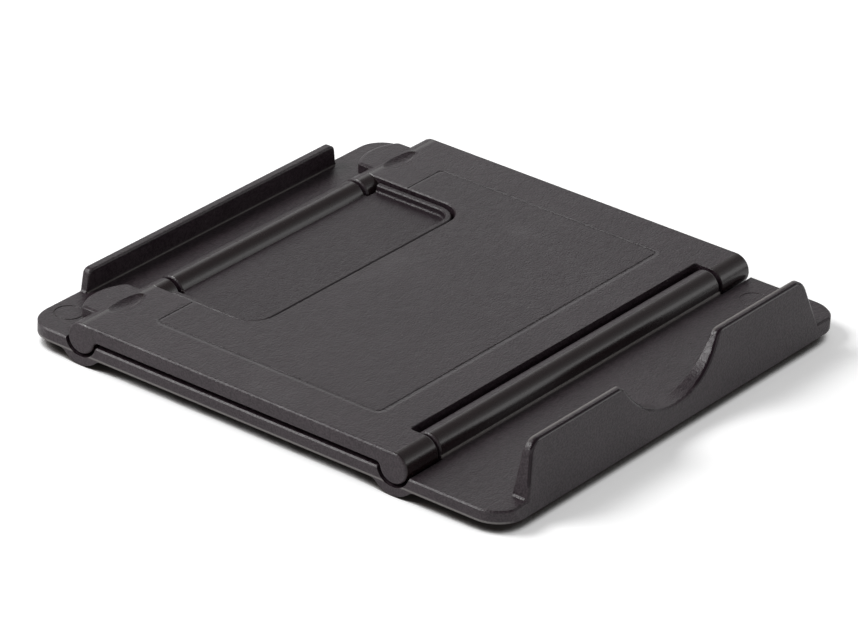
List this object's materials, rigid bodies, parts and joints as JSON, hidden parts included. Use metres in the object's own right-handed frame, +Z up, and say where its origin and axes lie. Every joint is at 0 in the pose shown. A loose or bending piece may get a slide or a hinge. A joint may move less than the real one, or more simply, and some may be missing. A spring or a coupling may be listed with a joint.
{
  "type": "folding album stand",
  "caption": "Flat-folding moulded table stand: ribbed base with a notched front lip, hinged support plate and swing-down strut, for an album, book or tablet.",
  "frame": {"origin": "under the middle of the base, on the surface that the feet stand on", "axes": "+X along the hinges, -Y to the front with the tall lip, +Z up"},
  "size_m": [0.15, 0.158, 0.0207],
  "materials": {
    "plastic": "fine-grained black moulding",
    "steel": "ground pin stock",
    "rubber": "matte black rubber"
  },
  "bodies": {
    "base": {"base_plate": "plastic", "front_hinge_pin_left": "steel", "front_hinge_pin_right": "steel", "foot_front_left": "rubber", "foot_front_right": "rubber", "foot_rear_left": "rubber", "foot_rear_right": "rubber"},
    "support": {"support_plate": "plastic"},
    "strut": {"strut": "plastic", "rear_hinge_pin_left": "steel", "rear_hinge_pin_right": "steel"}
  },
  "joints": [
    {"name": "support_tilt", "type": "hinge", "parent": "base", "child": "support", "pos_m": [0, -0.044, 0.0079], "axis": [1, 0, 0], "range_deg": [0, 130]},
    {"name": "strut_swing", "type": "hinge", "parent": "support", "child": "strut", "pos_m": [0, 0.0594, 0.0079], "axis": [1, 0, 0], "range_deg": [0, 112]}
  ]
}
